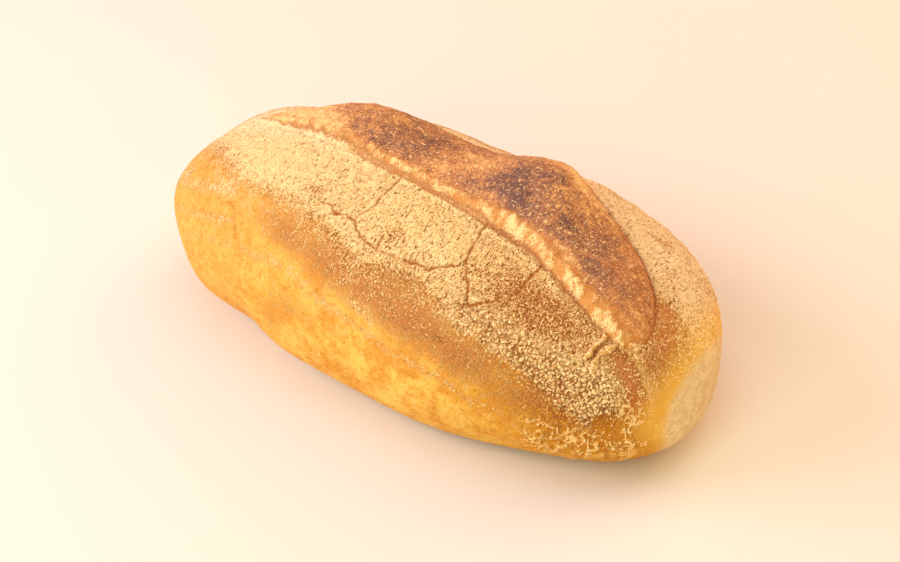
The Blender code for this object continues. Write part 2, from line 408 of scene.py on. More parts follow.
crustPlaces = {
    # noise: height, size in millimetres, seed, number of layers
    "ragged": (0.5, 4.5, 61),
    "torn": (0.8, 2.2, 62, 2),
    "patchy": (3.5, 13.0, 71),
    "charNoise": (0.12, (9.0, 6.0, 6.0), 81),
    "patchNoise": (0.06, 9.0, 91),
    # lower edge of the flour on the near side: y at each x, in millimetres
    "flourEdgeX": (-142, -128, -112, -105, -80, -52, -31, -12, 99, 111, 122, 133, 142),
    "flourEdgeY": (-2, -6, -18, -24, -34, -40, -47, -55, -56, -52, -47, -32, -10),
    # and its height over the table at the two ends, with the x where each end begins
    "endLevels": ((-112, 62), (112, 58)),
    "farEdgeX": (-142, -110, -60, 60, 110, 134, 142),
    "farEdgeY": (6, 30, 52, 62, 52, 30, 12),
    # how much flour there is at each distance below that edge
    "flourAt": (-12, -4, 2, 8, 16, 28, 45),
    "flourAmount": (1.15, 1.0, 0.68, 0.40, 0.22, 0.08, -0.15),
    # how much less there is where the crust is rusty, and low down: z from, z to, how much less
    "rustBare": 0.60,
    "lowBare": (36.0, 48.0, 0.30),
    # the near side's flour lies thinner towards the blunt end: x from, x to, how much less
    "flourSlope": (-90, 60, 0.30),
    # where the flour is thin and the brown crust shows through, minus is thicker: x, y, reaches and amount
    "thinFlour": (
        (82, -39, 26, 10, 0.48), (79, -43, 9, 6, 0.30), (113, -36, 4, 4, 0.30), (60, -40, 16, 10, 0.22),
        (0, -37, 5, 3, 0.40), (-48, -30, 6, 5, 0.32), (8, -54, 16, 4, 0.25), (97, 31, 8, 4, 0.40),
        (66, 46, 6, 4, 0.30), (22, -30, 16, 10, -0.20), (120, 27, 7, 5, 0.35), (106, 42, 6, 3, 0.35),
    ),
    # where the crust beyond the burst's end is reddish brown: x, y, reach in x, reach in y, amount
    "rusts": (
        (127, -18, 9, 12, 1.0), (118, -4, 7, 9, 0.9), (112, 13, 6, 7, 0.4), (118, -38, 7, 5, 0.9),
        (122, -37, 7, 4, 0.6),
    ),
    # where the flour has dried into thick curds: x, y, reach in x, reach in y, amount
    "curds": (
        (48, -54, 14, 7, 0.8), (76, -57, 18, 7, 1.0), (100, -55, 16, 8, 1.0), (113, -48, 9, 8, 0.9),
    ),
    # beside the burst's near edge, in millimetres along the score and into the burst: where the flour ends,
    # where the smooth lip ends, where the torn strip of crumbs ends and where its golden fringe ends
    "edgeAt": (18, 60, 75, 95, 146, 152, 180, 205, 216, 230),
    "lipFrom": (2.0, 2.0, -1.2, -1.4, -1.0, -0.3, 0.0, 0.2, 0.7, 0.7),
    "lipTo": (3.0, 3.0, 2.4, 2.4, 2.0, 0.9, 1.1, 1.3, 1.6, 1.6),
    "stripTo": (3.1, 3.6, 3.9, 4.4, 4.6, 4.6, 4.8, 6.6, 8.8, 4.8),
    "fringeTo": (3.3, 5.0, 5.6, 6.4, 6.2, 6.2, 7.4, 9.0, 11.5, 8.0),
    # how deep the groove inside the lip is, and how strongly its painted shade shows
    "creviceAndShade": (0.3, 0.4, 0.3, 0.3, 0.4, 1.0, 1.0, 1.0, 0.8, 0.0),
    # how dark the burst is baked, along the score and into the burst: place, reaches and amount
    "chars": (
        (68, 14, 8, 8, 0.18), (75, 8, 6, 4, 0.25), (80, 20, 7, 11, 0.20), (92, 21, 9, 11, 0.31),
        (103, 27, 8, 9, 0.10), (112, 20, 6, 10, -0.18), (128, 14, 9, 6, 0.28), (129, 25, 7, 6, -0.34),
        (146, 22, 13, 11, 0.50), (156, 12, 10, 6, 0.42), (161, 29, 8, 6, 0.24), (164, 41, 13, 6, -0.45),
        (176, 29, 6, 10, -0.12), (180, 17, 8, 7, 0.40), (186, 9, 5, 3, -0.20), (198, 25, 9, 9, 0.26),
        (204, 16, 12, 6, 0.38), (217, 20, 7, 8, 0.28), (227, 6, 6, 5, -0.25),
    ),
    "charFrom": (52, 74, 0.46),    # it starts between these along the score, with this much everywhere
    # small pits in the burst, sunk and darkened with painted shade: place, reaches and amount
    "pits": (
        (154.5, 34.5, 2.6, 0.7, 1.0), (184, 44.8, 0.9, 2.2, 1.0), (121.5, 34, 1.2, 0.9, 1.0),
        (197, 40.5, 1.1, 0.9, 1.0), (202, 38, 0.9, 1.1, 1.0), (213, 31, 1.2, 0.8, 1.0),
        (205, 24, 1.0, 0.9, 1.0), (77, 24.5, 2.4, 0.7, 1.0), (72, 3.2, 1.0, 0.5, 1.0),
    ),
    # brown and rosy places on the near side, seen from the side: x, z, reaches and amount
    "roses": (
        (-52, 81, 20, 6, 0.75), (-10, 80, 26, 10, 1.0), (26, 74, 22, 10, 1.0), (56, 66, 17, 10, 0.85),
        (84, 55, 18, 10, 0.65), (-48, 41, 9, 13, 0.40), (-3, 36, 9, 8, 0.30), (-100, 33, 22, 10, 0.25),
        (-36, 55, 13, 9, 0.45),
    ),
    "umbers": (
        (104, 40, 16, 16, 0.75), (120, 34, 10, 14, 0.60), (80, 50, 14, 8, 0.35),
    ),
    # thin streaks of flour on the near side, seen from the side: half width, strength, path
    "streaks": (
        (2.4, 1.0, ((-40, 70), (-28, 66), (-8, 64), (2, 62), (16, 58), (30, 57), (46, 55), (58, 49), (72, 45),
                    (84, 37))),
        (2.2, 1.0, ((-3, 71), (3, 70), (7, 68))),
        (1.8, 1.0, ((-64, 66), (-54, 70), (-46, 70))),
        (2.0, 1.0, ((-135, 58), (-120, 66), (-104, 74), (-90, 79))),
        (1.8, 1.0, ((-132, 50), (-116, 59), (-100, 66), (-84, 72))),
        (1.6, 1.0, ((-112, 50), (-98, 58), (-80, 64), (-62, 68))),
        (1.4, 1.0, ((-100, 40), (-90, 47), (-84, 50))),
        (2.6, 1.0, ((-140, 44), (-134, 56), (-124, 66))),
        (2.2, 1.0, ((-139, 30), (-132, 42), (-122, 50))),
    ),
    # where thin threads of flour stand on the golden crust: x, z, reaches and amount
    "threads": (107, 39, 19, 22, 1.4),
    # brown scars and one dark spot there: half width, strength, path
    "scars": (
        (0.6, 0.5, ((-90, 76), (-84, 76), (-79, 72), (-77, 68))),
        (0.5, 0.5, ((-112, 79), (-115, 76), (-117, 74.5), (-116, 73))),
        (0.5, 0.4, ((-119, 71), (-124, 66))),
        (1.3, 1.2, ((39.5, 71.4), (42.5, 70.8))),
    ),
    # the flat patch at the blunt end, seen along the loaf: y, z of its middle, reach in y, reach in z
    "patch": (3, 33, 31, 27),
    "patchRim": 0.62,    # width of its golden rim, as a share of the reach
}


def belowEdge(points, edgeX, edgeY):
    # signed distance down each cross-section from the flour's edge: plus is below it
    form = loafForm
    edge = np.interp(points[:, 0], edgeX, edgeY)
    halfWidth, above, _ = profileSquares(form, np.clip(points[:, 0] * 2.0e-3 / form["length"], -0.999, 0.999))
    edge = np.sign(edge) * np.minimum(np.abs(edge), 999.0 * halfWidth)
    power = form["topSquareness"]
    level = 1000.0 * (form["waistHeight"] + above * np.maximum(
        1.0 - np.abs(edge / (1000.0 * halfWidth)) ** power, 0.0) ** (1.0 / power))
    outside = np.where(np.sign(edge) * (points[:, 1] - edge) > 0.0, 1.0, -1.0)
    return outside * np.hypot(points[:, 1] - edge, points[:, 2] - level)


def crustZones(oval, score, onTop):
    # soft masks from 0 to 1 from the distances to the burst's edges, the flour's edges and named places
    places = crustPlaces
    mm = oval * 1000.0
    x, y, z = mm.T
    side = mm[:, (0, 2)]
    near = (y < 0.0).astype(float)
    ragged, torn, patchy, charNoise, patchNoise = (
        wobble(mm, places[name]) for name in ("ragged", "torn", "patchy", "charNoise", "patchNoise"))
    run = score["run"] * 1000.0
    fromNear, fromFar = score["fromNear"] * 1000.0 + ragged, score["fromFar"] * 1000.0 + ragged
    lipFrom, lipTo, stripTo, fringeTo, creviceDepth = (
        np.interp(run, places["edgeAt"], places[name])
        for name in ("lipFrom", "lipTo", "stripTo", "fringeTo", "creviceAndShade"))
    within = onTop * score["within"]
    inside = within * (1.0 - smoothStep(-0.5, 0.5, fromFar))
    burst = inside * smoothStep(-0.4, 0.4, fromNear - lipTo)
    strip = burst * (1.0 - smoothStep(-0.7, 0.7, fromNear + 1.3 * torn - stripTo))
    strip *= smoothStep(30.0, 70.0, run)
    fringe = burst * (1.0 - smoothStep(-1.2, 1.2, fromNear + 1.5 * torn - fringeTo)) * (1.0 - strip)
    lip = inside * smoothStep(-0.5, 0.5, fromNear - lipFrom) * (1.0 - burst) * smoothStep(10.0, 30.0, run)
    # the groove just inside the lip, sunk and darkened with painted shade over partly baked brown; along the
    # far edge a thin line of painted shade over partly darker crust
    creviceAndShade = within * softRidge(fromNear - lipTo, (-0.2, 0.65, creviceDepth)) * smoothStep(14.0, 24.0, run)
    farShadeLine = within * softRidge(fromFar, (0.0, 0.8, 1.0)) * smoothStep(120.0, 150.0, run)
    farLip = inside * smoothStep(-4.2, -2.6, fromFar) * smoothStep(140.0, 160.0, run)

    nearBelow = belowEdge(mm, places["flourEdgeX"], places["flourEdgeY"])
    farBelow = belowEdge(mm, places["farEdgeX"], places["farEdgeY"])
    below = np.where(onTop > 0.0, np.maximum(nearBelow, farBelow), 60.0 - z)
    for ward, (endX, endLevel) in zip((-1.0, 1.0), places["endLevels"]):
        below = np.maximum(below, endLevel - z - 4.0 * np.maximum(ward * (endX - x), 0.0))
    flour = np.interp(below + patchy, places["flourAt"], places["flourAmount"])
    lowTo, upperFrom, lowBare = places["lowBare"]
    upper = smoothStep(lowTo, upperFrom, z)
    rust = softSpots(mm, places["rusts"]) * (1.0 - burst) * upper
    flour -= sum(softSpot(mm, place) for place in places["thinFlour"]) * onTop + places["rustBare"] * rust
    flour -= lowBare * (1.0 - upper)
    slopeFrom, slopeTo, less = places["flourSlope"]
    flour -= less * smoothStep(slopeFrom, slopeTo, x) * near * smoothStep(0.3, 0.8, flour)
    bare = np.maximum(burst, lip)
    streak = softLines(side, places["streaks"], 1.2 * ragged) * near
    scar = softLines(side, places["scars"], 0.8 * torn) * near
    curds = softSpots(mm, places["curds"]) * upper * near

    charFrom, charTo, charBase = places["charFrom"]
    spot = np.stack((run, fromNear), axis=1)
    char = charBase * smoothStep(charFrom, charTo, run + 1.2 * fromNear)
    char += sum(softSpot(spot, place) for place in places["chars"])
    char = np.clip(char + charNoise, 0.0, 1.0) * burst * (1.0 - strip)
    # small pits in the burst, sunk and darkened with painted shade
    pit = softSpots(spot, places["pits"]) * inside
    hidden = (1.0 - near) * np.exp(-(((below - 9.0 + patchy) / 9.0) ** 2))
    blush = softSpots(side, places["roses"]) * near + 0.7 * hidden
    blush *= smoothStep(-125.0, -70.0, x + 4.0 * patchy) * (1.0 - burst)
    umber = softSpots(side, places["umbers"]) * near
    middleY, middleZ, reachY, reachZ = places["patch"]
    outward = np.hypot((y - middleY) / reachY, (z - middleZ) / reachZ) + patchNoise
    outward += 9.0 * (x < 100.0)
    patch = 1.0 - smoothStep(0.86, 1.12, outward)
    rim = (1.0 - smoothStep(1.0, 1.0 + places["patchRim"], outward)) * smoothStep(-34.0, -18.0, z - 22.0 + y)
    return {"burst": burst, "strip": strip, "fringe": fringe, "lip": lip, "creviceAndShade": creviceAndShade, "bare": bare,
            "farShadeLine": farShadeLine, "farLip": farLip, "flour": flour, "curds": curds, "char": char, "pit": pit,
            "blush": blush, "umber": umber, "rust": rust, "patch": patch, "rim": rim, "below": below,
            "streak": streak, "scar": scar, "threads": near * softSpot(side, places["threads"])}


crustRelief = {
    # cells: size in millimetres along and across the loaf, how far they are bent, seed
    "dashCells": ((1.25, 2.4, 2.4), 0.55, 21),
    "curdCells": ((1.6, 2.3, 2.3), 0.9, 22),
    "veinCells": ((2.3, 4.4, 4.4), 1.3, 28),
    "crumbCells": (1.5, 0.8, 51),
    "blisterCells": (2.1, 0.0, 53),
    # the gaps between cells, or distances from their middles, over which each line or dome fades
    "dashEdge": (0.04, 0.20),
    "seamEdge": (0.06, 0.36),
    "veinEdge": (0.04, 0.26),
    "furrowEdge": (0.18, 0.45),
    "blisterEdge": (0.12, 0.30),
    "blisterChance": 0.35,
    # noise: height, size in millimetres, seed
    "crags": (0.35, 6.0, 31),
    "lumps": (0.50, 6.5, 43),
    "folds": (1.0, (14.0, 2.6, 1.0), 41),
    # heights and depths in millimetres
    "foldHeight": 0.20,
    "dashDepth": 0.30,
    "curdDepth": 0.60,
    "crumbHeight": 0.80,
    "blisterHeight": 0.32,
    "flourHeight": 0.22,
    "veinHeight": 1.0,
    "furrowDepth": 0.25,
    "scarDepth": 0.25,
    "pitDepth": 0.6,
    "creviceDepth": 0.4,
    # loose lumps outside the curds: x from, x to, share; then the shares on threads and on the torn strip
    "looseLumps": (30.0, 60.0, 0.30),
    "veinLumps": 0.6,
    "stripLumps": 0.35,
}


def bentCells(mm, warp, place):
    # the cell pattern at points moved by the warp times the bend
    size, bend, seed = place
    return cellPattern(mm + bend * warp, size, seed)


def crustPattern(oval, score, zones, onTop):
    # the fine relief in millimetres; what the finish needs of it is added to the zones
    look = crustRelief
    mm = oval * 1000.0
    warp = np.stack([softNoise(mm, 3.0, seed) for seed in (7, 8, 9)], axis=1)
    curds, burst, strip = (zones[name] for name in ("curds", "burst", "strip"))
    openCrust = 1.0 - burst

    _, dashGap, _ = bentCells(mm, warp, look["dashCells"])
    broken = smoothStep(-0.25, 0.35, layeredNoise(mm, 2.6, 25, 2) + 0.5 * smoothStep(20.0, 80.0, mm[:, 0]))
    dash = (1.0 - smoothStep(*look["dashEdge"], dashGap)) * broken
    near, curdGap, _ = bentCells(mm, warp, look["curdCells"])
    # seams between the curds, sunk in the relief; in the colour they are brown crust with painted shade
    seamAndShade = 1.0 - smoothStep(*look["seamEdge"], curdGap)
    curdDome = 1.0 - np.clip(near, 0.0, 1.0) ** 2

    flour = zones["flour"] + 0.60 * curds * (zones["below"] < 8.0) + 0.45 * zones["streak"]
    flour = flour * (1.0 - zones["lip"]) + 0.42 * zones["lip"]
    zones["flour"] = flour * openCrust - 0.6 * burst
    _, veinGap, _ = bentCells(mm, warp, look["veinCells"])
    veinBreak = smoothStep(-0.5, 0.1, layeredNoise(mm, 4.0, 29, 2))
    threads = smoothStep(0.15, 0.5, zones["threads"]) * openCrust * (1.0 - curds)
    # threads: raised veins with furrows between them; the colour lightens the veins, partly as painted
    # highlight, and darkens the furrows with painted shade
    vein = (1.0 - smoothStep(*look["veinEdge"], veinGap)) * veinBreak * threads
    furrow = smoothStep(*look["furrowEdge"], veinGap) * threads
    zones["flour"] += 0.15 * vein
    cover = np.clip(flour, 0.0, 1.0) * openCrust

    crack, plan = crackOpening(crackForm, mm)
    crack *= onTop * (1.0 - burst)
    relief = -look["dashDepth"] * dash * cover * (1.0 - 0.7 * curds)
    relief += look["curdDepth"] * (0.55 * curdDome - seamAndShade) * curds * smoothStep(0.3, 0.6, cover)
    relief += wobble(mm, look["crags"]) * (0.35 + 0.65 * cover)
    relief += (look["flourHeight"] * cover + look["veinHeight"] * vein - look["furrowDepth"] * furrow
               - look["scarDepth"] * zones["scar"] - look["pitDepth"] * zones["pit"]
               - look["creviceDepth"] * zones["creviceAndShade"])
    tear = onTop * openCrust * tearRelief(crackForm, plan)
    tail = onTop * openCrust * softRidge(distanceToPath(plan, crackForm["tail"]), crackForm["tailRidge"])
    relief += tear + tail
    relief -= crackForm["depth"] * crack

    # folds along the score: raised in the relief, and in the burst's colour their crests are painted lighter
    # and their troughs darker
    folds = np.stack((score["run"] * 1000.0, score["sideways"] * 1000.0, np.zeros(len(mm))), axis=1)
    foldNoise = wobble(folds, look["folds"])
    relief += look["foldHeight"] * foldNoise * burst * (1.0 - strip)
    relief += wobble(mm, look["lumps"]) * burst
    crumbNear, _, _ = bentCells(mm, warp, look["crumbCells"])
    # crumbs of the torn strip: raised where crumb is high; the colour is cream on these tops and golden
    # between them, partly painted light and shade
    crumb = 1.0 - crumbNear + 0.9 * layeredNoise(mm, 3.6, 52)
    relief += look["crumbHeight"] * (crumb - 0.5) * np.maximum(strip, 0.6 * zones["fringe"])
    # blisters on the burst: raised in the relief, and lightened in the colour, partly as a painted highlight
    blisterNear, _, blisterChance = bentCells(mm, warp, look["blisterCells"])
    blister = (1.0 - smoothStep(*look["blisterEdge"], blisterNear)) * (blisterChance > look["blisterChance"])
    relief += look["blisterHeight"] * blister * burst * (1.0 - strip)
    solid = np.clip(zones["flour"] * 1.6 - 0.4, 0.0, 1.0) * openCrust * (1.0 - crack) * (1.0 - zones["lip"])
    looseFrom, looseTo, looseShare = look["looseLumps"]
    rough = np.maximum(curds, looseShare * onTop * smoothStep(looseFrom, looseTo, mm[:, 0]))
    zones["lumps"] = solid * rough * (1.0 - 0.95 * seamAndShade) + look["veinLumps"] * vein
    zones["lumps"] += look["stripLumps"] * strip * (crumb > 0.5)
    zones["pimples"] = burst * (1.0 - strip) * smoothStep(0.05, 0.40, zones["char"]) * (1.0 - zones["farLip"])
    zones.update({"dash": dash, "seamAndShade": seamAndShade * curds, "crack": crack, "fold": foldNoise, "crumb": crumb,
                  "blister": blister, "vein": vein, "furrow": furrow,
                  "tear": np.clip(tear / crackForm["tearRidge"][2], 0.0, 1.0),
                  "tail": np.clip(tail / crackForm["tailRidge"][2], 0.0, 1.0)})
    return relief


def crackOpening(form, mm):
    # 1 in the middle of a crack, falling to 0 at its half width; the path wanders by soft noise
    wander = np.stack([layeredNoise(mm, form["wanderSize"], seed) for seed in (5, 15)], axis=1)
    plan = mm[:, :2] + form["wander"] * wander
    gap = np.min([distanceToPath(plan, path) for path in form["cracks"]], axis=0)
    return np.clip(1.0 - gap / form["halfWidth"], 0.0, 1.0), plan


def tearRelief(form, plan):
    # short torn ridges, each a soft ridge about its path
    return sum(softRidge(distanceToPath(plan, path), form["tearRidge"]) for path in form["tears"])


def loafSurface(along, around, fineShare, lift):
    # the oval, moved along its normals by all the relief and a lift, then pressed at the patch and underneath
    oval = ovalPoint(loafForm, along, around)
    normal = ovalNormal(loafForm, along, around)
    onTop = (np.abs(around) < np.pi / 2.0).astype(float)
    score = scoreFrame(burstForm, oval)
    zones = crustZones(oval, score, onTop)
    relief = bulgeRelief(loafForm, oval) + onTop * burstRelief(burstForm, oval, score)
    relief += 0.001 * crustPattern(oval, score, zones, onTop) * fineShare + lift
    surface = pressPatch(loafForm, oval + normal * relief[:, None])
    return sitFlat(loafForm, surface), zones


loafGrid = {
    "rowStep": 0.00060,
    "rowsPerBroadRow": 4,
    # distance across the loaf from its crown line, minus is the near side, and the columns' spacing there
    "fineFrom": -0.095,
    "fineTo": 0.072,
    "stepAt": (-0.095, -0.072, -0.066, -0.002, 0.004, 0.045, 0.072),
    "steps": (0.0020, 0.0014, 0.00078, 0.00078, 0.0010, 0.0011, 0.0022),
    "broadStep": 0.0055,
}


def pathLength(points):
    # the sum of the straight pieces up to each point
    return np.concatenate(([0.0], np.cumsum(np.linalg.norm(np.diff(points, axis=0), axis=1))))


def crownLine(form):
    # angles from end to end and the length along the crown line at each
    fine = np.linspace(0.0, np.pi, 4001)
    return fine, pathLength(ovalPoint(form, fine, np.zeros_like(fine)))


def girthLine(form):
    # angles round the middle cross-section and the length from the crown line at each, minus on the near side
    turn = np.linspace(-np.pi, np.pi, 8001)
    reach = pathLength(ovalPoint(form, np.full_like(turn, np.pi / 2.0), turn))
    return turn, reach - np.interp(0.0, turn, reach)


sideGrid = {
    # where the near side has its thick curds and threads of flour: x, and length from the crown line
    "x": (0.022, 0.1400),
    "girth": (-0.131, -0.047),
    "step": 0.00062,
    "fade": 0.008,
    "depth": 0.0022,
    "dip": 0.0006,
    "mainDip": 0.0009,
    # shares of the way in from the edge between which it rises, its lumps start and the loaf's crust dips
    "risesOver": (0.2, 0.7),
    "lumpsOver": (0.65, 0.85),
    "mainDipOver": (0.7, 1.0),
}


def sideSpan(form, look):
    # the first and last length along the crown line
    fine, crown = crownLine(form)
    ends = np.arccos(-2.0 * np.array(look["x"]) / form["length"])
    return np.interp(ends, fine, crown)


def sideShare(form, look, along, around):
    # 0 at the finer side crust's edges and outside them, 1 further in than the fade on all four sides
    fine, crown = crownLine(form)
    turn, girth = girthLine(form)
    row, column = np.interp(along, fine, crown), np.interp(around, turn, girth)
    share = np.ones(len(along))
    for spot, (first, last) in ((row, sideSpan(form, look)), (column, look["girth"])):
        share = np.minimum(share, np.minimum(spot - first, last - spot) / look["fade"])
    return np.clip(share, 0.0, 1.0)


def gridAngles(form, look):
    # row angles evenly spaced by length along the crown line; column angles spaced by the list of steps
    fine, reach = crownLine(form)
    fold = look["rowsPerBroadRow"]
    rows = int(round(reach[-1] / look["rowStep"] / fold)) * fold
    along = np.interp(np.linspace(0.0, reach[-1], rows + 1), reach, fine)
    turn, reach = girthLine(form)
    spots = np.linspace(look["fineFrom"], look["fineTo"], 4001)
    steps = np.interp(spots[1:], look["stepAt"], look["steps"])
    count = np.concatenate(([0.0], np.cumsum(np.diff(spots) / steps)))
    columns = int(round(count[-1]))
    fineSpots = np.interp(np.linspace(0.0, count[-1], columns + 1), count, spots)
    girthLength = reach[-1] - reach[0]
    broad = int(round((girthLength - fineSpots[-1] + fineSpots[0]) / look["broadStep"]))
    broadSpots = np.linspace(fineSpots[-1], fineSpots[0] + girthLength, broad + 1)[1:-1]
    broadSpots = np.where(broadSpots > reach[-1], broadSpots - girthLength, broadSpots)
    return along, np.interp(fineSpots, reach, turn), np.interp(broadSpots, reach, turn)


def gridQuads(index):
    # a quad between each four neighbours in a grid of corner numbers
    return np.stack((index[:-1, :-1], index[1:, :-1], index[1:, 1:], index[:-1, 1:]), axis=-1).reshape(-1, 4)


def gridFaces(rows, fineColumns, broadColumns, fold):
    # fine quads on top, broad quads underneath, faces between them that keep the fine corners on one edge,
    # and fans at the two poles; corners 0 and 1 are the poles, then the fine rings, then the broad rings
    fine = 2 + np.arange((rows - 1) * fineColumns).reshape(-1, fineColumns)
    broad = 2 + fine.size + np.arange((rows // fold - 1) * broadColumns).reshape(-1, broadColumns)
    faces = gridQuads(fine).tolist() + gridQuads(broad).tolist()
    span = np.arange(len(broad) - 1)[:, None] * fold + np.arange(fold - 1, 2 * fold)
    faces += np.hstack((fine[span, -1], broad[1:, :1], broad[:-1, :1])).tolist()
    faces += np.hstack((broad[:-1, -1:], broad[1:, -1:], fine[span[:, ::-1], 0])).tolist()
    for pole, ward in ((0, 1), (1, -1)):
        near, broadRing = fine[::ward][:fold], broad[::ward][0].tolist()
        fans = [[pole, *pair] for ring in (near[0].tolist(), broadRing) for pair in zip(ring[:-1], ring[1:])]
        fans += [[pole, *near[:, -1].tolist(), broadRing[0]], [pole, broadRing[-1], *near[::-1, 0].tolist()]]
        faces += [face[::ward] for face in fans]
    return faces


def fitToBox(points, own, corners):
    # each axis is shifted and scaled so that the crust's own box becomes the solid's
    low, high = np.array(corners[0]), np.array(corners[1])
    return np.clip(low + (points - own[0]) * (high - low) / (own[1] - own[0]), low, high)


def addCrust(name, surface, faces, zones):
    # a smooth mesh that carries each zone as a value per point
    mesh = bpy.data.meshes.new(name)
    mesh.from_pydata(surface.tolist(), [], faces)
    for zone, values in zones.items():
        mesh.attributes.new(zone, "FLOAT", "POINT").data.foreach_set("value", values.astype(np.float32))
    mesh.shade_smooth()
    piece = bpy.data.objects.new(name, mesh)
    scene.collection.objects.link(piece)
    triangles = sum(len(polygon.vertices) - 2 for polygon in mesh.polygons)
    print(name, "shaped:", len(mesh.vertices), "points,", triangles, "triangles")
    return piece


def makeSideCrust(own):
    # the same surface on a finer grid, dipping under the loaf's at its edges, with an inner face below it
    look = sideGrid
    fine, crown = crownLine(loafForm)
    turn, girth = girthLine(loafForm)
    first, last = sideSpan(loafForm, look)
    rows = int(round((last - first) / look["step"]))
    columns = int(round((look["girth"][1] - look["girth"][0]) / look["step"]))
    along = np.repeat(np.interp(np.linspace(first, last, rows), crown, fine), columns)
    around = np.tile(np.interp(np.linspace(*look["girth"], columns), girth, turn), rows)
    share = sideShare(loafForm, look, along, around)
    dip = look["dip"] * (1.0 - smoothStep(*look["risesOver"], share))
    outer, zones = loafSurface(along, around, 1.0, -dip)
    inner, _ = loafSurface(along, around, 0.0, -look["depth"])
    zones["lumps"] *= smoothStep(*look["lumpsOver"], share)
    zones["pimples"] = np.zeros(len(share))    # the blisters stand on the loaf's own crust alone
    count = rows * columns
    index = np.arange(count).reshape(rows, columns)
    top = gridQuads(index)
    border = np.concatenate((index[:-1, 0], index[-1, :-1], index[:0:-1, -1], index[0, :0:-1]))
    after = np.roll(border, -1)
    skirt = np.stack((after, border, border + count, after + count), axis=-1)
    faces = np.vstack((top, top[:, ::-1] + count, skirt)).tolist()
    surface = fitToBox(np.vstack((outer, inner)), own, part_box("loaf"))
    return addCrust("curdCrust", surface, faces, {name: np.tile(values, 2) for name, values in zones.items()})


def makeLoaf():
    # a grid that is fine on top and broad underneath, smooth and a little lower under the side crust
    along, fineAround, broadAround = gridAngles(loafForm, loafGrid)
    rows, fold = len(along) - 1, loafGrid["rowsPerBroadRow"]
    fineAlong, broadAlong = along[1:-1], along[fold:-1:fold]
    allAlong = np.concatenate(([0.0, np.pi], np.repeat(fineAlong, len(fineAround)),
                               np.repeat(broadAlong, len(broadAround))))
    allAround = np.concatenate(([0.0, 0.0], np.tile(fineAround, len(fineAlong)),
                                np.tile(broadAround, len(broadAlong))))
    share = smoothStep(*sideGrid["mainDipOver"], sideShare(loafForm, sideGrid, allAlong, allAround))
    surface, zones = loafSurface(allAlong, allAround, 1.0 - share, -sideGrid["mainDip"] * share)
    zones["lumps"] *= 1.0 - np.clip(2.0 * share, 0.0, 1.0)
    own = surface.min(axis=0), surface.max(axis=0)
    surface = fitToBox(surface, own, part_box("loaf"))
    faces = gridFaces(rows, len(fineAround), len(broadAround), fold)
    return addCrust("crustLoaf", surface, faces, zones), own


curdForm = {
    "name": "flourCurds",
    "where": "lumps",
    "count": 9600,
    "radius": (0.00020, 0.00054),
    "flatness": 0.62,
    "sink": 0.22,
    "unevenness": 0.20,
    "seed": 11,
    # the names of its two colours
    "dull": "curdDull",
    "light": "curdLight",
}

pimpleForm = {
    "name": "burstPimples",
    "where": "pimples",
    "count": 1300,
    "radius": (0.00020, 0.00045),
    "flatness": 0.60,
    "sink": 0.30,
    "unevenness": 0.10,
    "seed": 12,
    # the names of its two colours
    "dull": "burstBrown",
    "light": "burstTan",
}


def lumpShape(sides=5):
    # a ball of triangles: two poles and two rings of corners, turned half a step against each other
    level = 1.0 / math.sqrt(5.0)
    step = np.arange(sides)
    after = (step + 1) % sides
    turns = 2.0 * np.pi * np.concatenate((step, step + 0.5)) / sides
    heights = np.repeat((level, -level), sides)
    rings = np.stack((2.0 * level * np.cos(turns), 2.0 * level * np.sin(turns), heights), axis=1)
    corners = np.vstack((rings, (0.0, 0.0, 1.0), (0.0, 0.0, -1.0)))
    top, bottom = np.full(sides, 2 * sides), np.full(sides, 2 * sides + 1)
    faces = np.vstack([np.stack(face, axis=1) for face in (
        (top, step, after), (step, sides + step, after), (sides + step, sides + after, after),
        (bottom, sides + after, sides + step))])
    return corners, faces


def readCrust(piece, zone):
    # places, normals and a zone of all the crust's points
    count = len(piece.data.vertices)
    spots, normals, values = (np.empty(count * width, np.float32) for width in (3, 3, 1))
    piece.data.vertices.foreach_get("co", spots)
    piece.data.vertex_normals.foreach_get("vector", normals)
    piece.data.attributes[zone].data.foreach_get("value", values)
    return spots.reshape(-1, 3), normals.reshape(-1, 3), np.clip(values.astype(float), 0.0, None)


def makeLumps(form, crusts):
    # small closed lumps thrown at random where the crust's zone is high, each turned about the normal,
    # flattened along it and sunk: place + radius * (x * side + y * other + (z * flat - sink) * normal)
    parts = [readCrust(piece, form["where"]) for piece in crusts]
    spots, normals, weight = (np.concatenate(column) for column in zip(*parts))
    luck = np.random.default_rng(form["seed"])
    chosen = luck.choice(len(spots), form["count"], replace=False, p=weight / weight.sum())
    spots, normals = spots[chosen], normals[chosen]
    first = np.cross(normals, (0.35, 0.50, 0.79))
    first /= np.linalg.norm(first, axis=1, keepdims=True)
    second = np.cross(normals, first)
    turn = luck.uniform(0.0, 2.0 * np.pi, (len(chosen), 1))
    side = np.cos(turn) * first + np.sin(turn) * second
    other = np.cos(turn) * second - np.sin(turn) * first
    low, high = form["radius"]
    radius = (low + (high - low) * luck.random((len(chosen), 1)) ** 2)[:, None]
    longer = luck.uniform(0.8, 1.3, (len(chosen), 1, 1))
    corners, faces = lumpShape()
    shape = corners * (1.0 + form["unevenness"] * luck.uniform(-1.0, 1.0, (len(chosen), len(corners), 1)))
    x, y = shape[..., 0:1] * longer, shape[..., 1:2] / longer
    z = shape[..., 2:3] * form["flatness"] - form["sink"]
    places = spots[:, None] + radius * (x * side[:, None] + y * other[:, None] + z * normals[:, None])
    places = np.clip(places, *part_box("loaf"))
    faces = faces + len(corners) * np.arange(len(chosen))[:, None, None]
    mesh = bpy.data.meshes.new(form["name"])
    mesh.from_pydata(places.reshape(-1, 3).tolist(), [], faces.reshape(-1, 3).tolist())
    lumps = bpy.data.objects.new(form["name"], mesh)
    scene.collection.objects.link(lumps)
    print(form["name"], "made:", len(chosen), "lumps,", len(mesh.polygons), "triangles")
    return lumps


